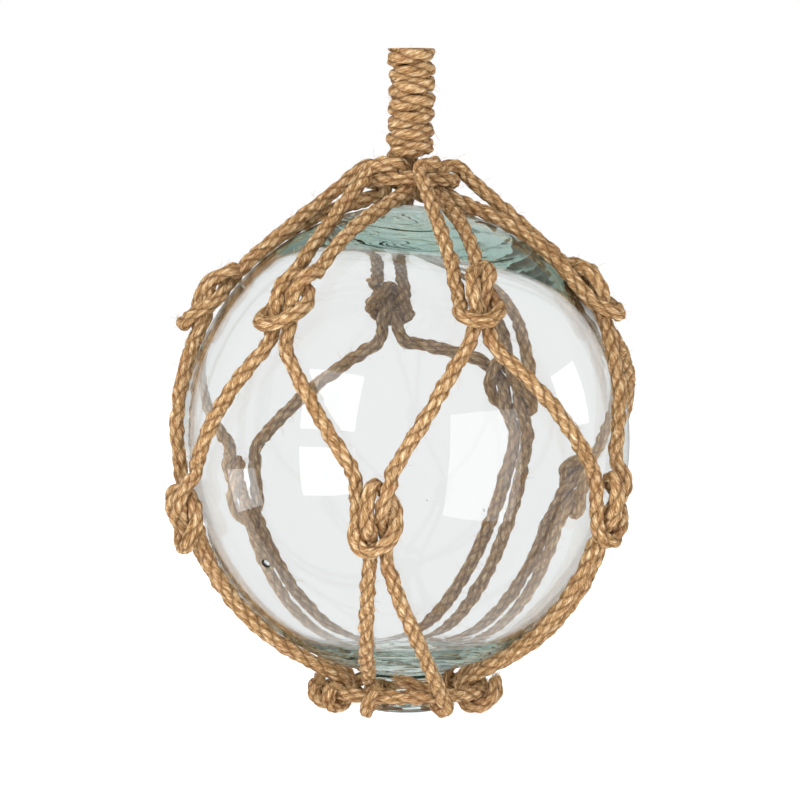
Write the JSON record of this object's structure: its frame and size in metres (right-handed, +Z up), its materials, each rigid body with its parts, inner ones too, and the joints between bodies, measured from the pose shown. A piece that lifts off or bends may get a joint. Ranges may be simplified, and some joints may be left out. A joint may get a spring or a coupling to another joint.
{
  "type": "glass float ball",
  "caption": "Sealed blown-glass float ball in a knotted jute net, with rope rings above and below and an upright rope-bound stem on top.",
  "frame": {"origin": "centre of the seal's flat underside, which the float stands on", "axes": "+Z up along the stem; +X to the right and -Y to the front as pictured"},
  "size_m": [0.2089, 0.2123, 0.2952],
  "materials": {
    "glass": "clear blown glass, faintly green where thick",
    "net_rope": "three-strand jute rope, natural",
    "ring_rope": "three-strand jute rope, natural, slightly darker"
  },
  "bodies": {
    "root": {"glass_float": "glass", "top_ring": "ring_rope", "bottom_ring": "ring_rope", "net_cord_left": "net_rope", "net_cord_front_left": "net_rope", "net_cord_front_right": "net_rope", "net_cord_right": "net_rope", "net_cord_back_right": "net_rope", "net_cord_back": "net_rope", "stem_core": "ring_rope", "stem_whipping": "net_rope"}
  },
  "joints": []
}
